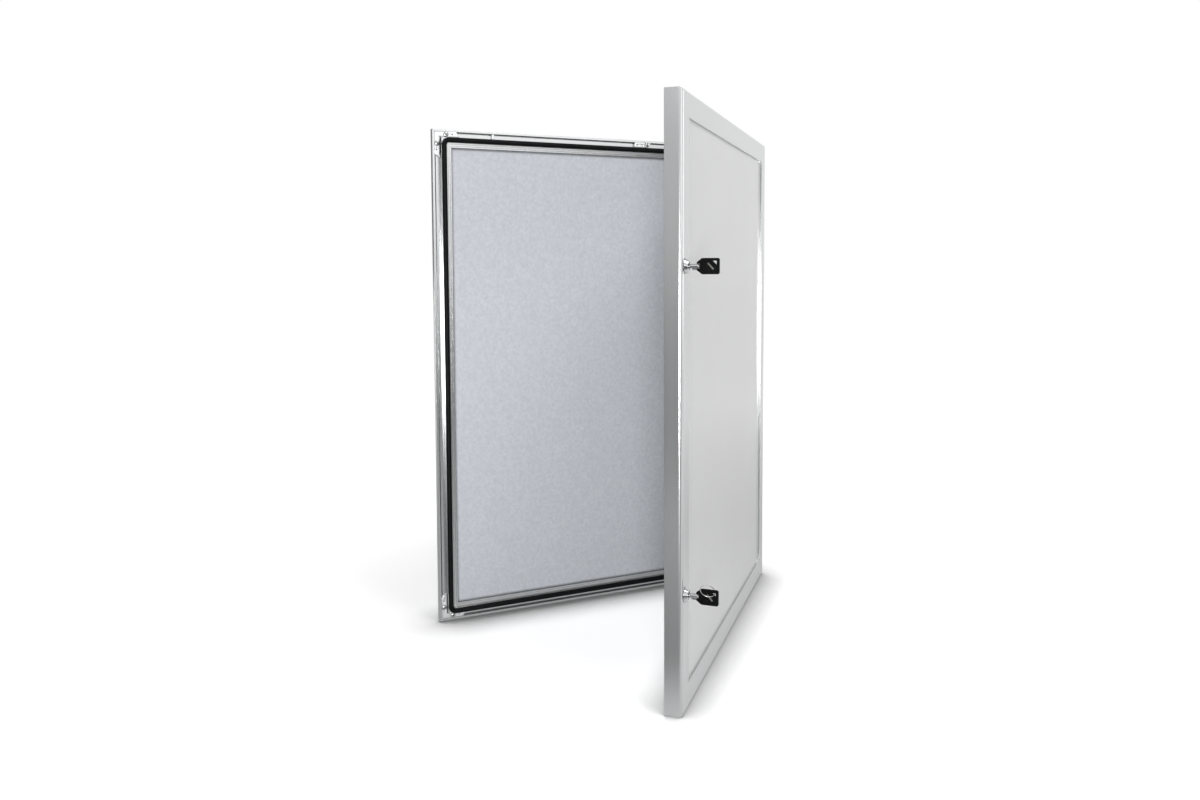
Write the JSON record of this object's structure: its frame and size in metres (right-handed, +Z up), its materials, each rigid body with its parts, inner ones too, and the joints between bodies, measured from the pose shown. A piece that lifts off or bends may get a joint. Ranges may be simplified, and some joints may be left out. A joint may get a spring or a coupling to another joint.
{
  "type": "lockable notice board",
  "caption": "Shallow wall-mounted display case with a felt pin board, rubber-sealed extruded frame and a glazed door swinging on side hinges, held shut by key-operated cam locks.",
  "frame": {"origin": "centre of the case's back face, which lies on the wall", "axes": "+X to the right seen from the front, +Y into the wall, +Z up; the door is hinged on the +X side and opens towards -Y"},
  "size_m": [0.7693, 0.5977, 1],
  "materials": {
    "satin_aluminium": "satin silver anodised extrusion with fine lines along its length",
    "zinc_sheet": "galvanised steel sheet with a faint spangle",
    "soft_board": "soft wood-fibre board with plain cut edges",
    "grey_felt": "short-fibre bluish grey felt with a slight mottle",
    "black_rubber": "matt black extruded rubber",
    "cast_zinc": "bright die-cast zinc with a light grain",
    "bright_steel": "bright zinc-plated steel",
    "clouded_pane": "pale clouded safety pane, smooth and slightly glossy",
    "chrome_lock": "polished chrome plate",
    "brass_nut": "turned brass",
    "black_plastic": "moulded black plastic with a slight sheen"
  },
  "bodies": {
    "case": {"case_rail_top": "satin_aluminium", "case_rail_bottom": "satin_aluminium", "case_rail_left": "satin_aluminium", "case_rail_right": "satin_aluminium", "back_sheet": "zinc_sheet", "pin_board_core": "soft_board", "felt_cover": "grey_felt", "case_gasket": "black_rubber", "corner_connector_bottom_left": "cast_zinc", "corner_connector_bottom_right": "cast_zinc", "corner_connector_top_left": "cast_zinc", "corner_connector_top_right": "cast_zinc", "channel_clip": "cast_zinc", "stay_anchor": "cast_zinc", "upper_hinge_case_leaf": "satin_aluminium", "lower_hinge_case_leaf": "satin_aluminium", "upper_hinge_pin": "bright_steel", "lower_hinge_pin": "bright_steel"},
    "door": {"door_rail_top": "satin_aluminium", "door_rail_bottom": "satin_aluminium", "door_stile_lock": "satin_aluminium", "door_stile_hinge": "satin_aluminium", "door_cleat_bottom_left": "cast_zinc", "door_cleat_bottom_right": "cast_zinc", "door_cleat_top_left": "cast_zinc", "door_cleat_top_right": "cast_zinc", "door_pane": "clouded_pane", "pane_seal": "black_rubber", "upper_hinge_door_leaf": "satin_aluminium", "lower_hinge_door_leaf": "satin_aluminium", "lock_barrels": "chrome_lock", "lock_nuts": "brass_nut"},
    "upper_plug": {"upper_lock_plug": "chrome_lock", "upper_lock_cam": "bright_steel"},
    "lower_plug": {"lower_lock_plug": "chrome_lock", "lower_lock_cam": "bright_steel"},
    "upper_key": {"upper_key_shank": "chrome_lock", "upper_key_head": "black_plastic"},
    "lower_key": {"lower_key_shank": "chrome_lock", "lower_key_head": "black_plastic"},
    "key_ring": {"lower_key_ring": "chrome_lock"}
  },
  "joints": [
    {"name": "door_hinge", "type": "hinge", "parent": "case", "child": "door", "pos_m": [0.3776, -0.0055, 0], "axis": [0, 0, 1], "range_deg": [-46, 59]},
    {"name": "upper_lock_turn", "type": "hinge", "parent": "door", "child": "upper_plug", "pos_m": [-0.11035, -0.55829, 0.224], "axis": [-0.7193, 0.6947, 0], "range_deg": [0, 90]},
    {"name": "lower_lock_turn", "type": "hinge", "parent": "door", "child": "lower_plug", "pos_m": [-0.11035, -0.55829, -0.302], "axis": [-0.7193, 0.6947, 0], "range_deg": [0, 90]},
    {"name": "upper_key_slide", "type": "slide", "parent": "upper_plug", "child": "upper_key", "axis": [0.7193, -0.6947, 0], "range_m": [0, 0.03]},
    {"name": "lower_key_slide", "type": "slide", "parent": "lower_plug", "child": "lower_key", "axis": [0.7193, -0.6947, 0], "range_m": [0, 0.03]},
    {"name": "key_ring_rock", "type": "hinge", "parent": "lower_key", "child": "key_ring", "pos_m": [-0.08351, -0.58421, -0.29179], "axis": [-0.6827, 0.6593, 0.315], "range_deg": [0, 45]}
  ]
}
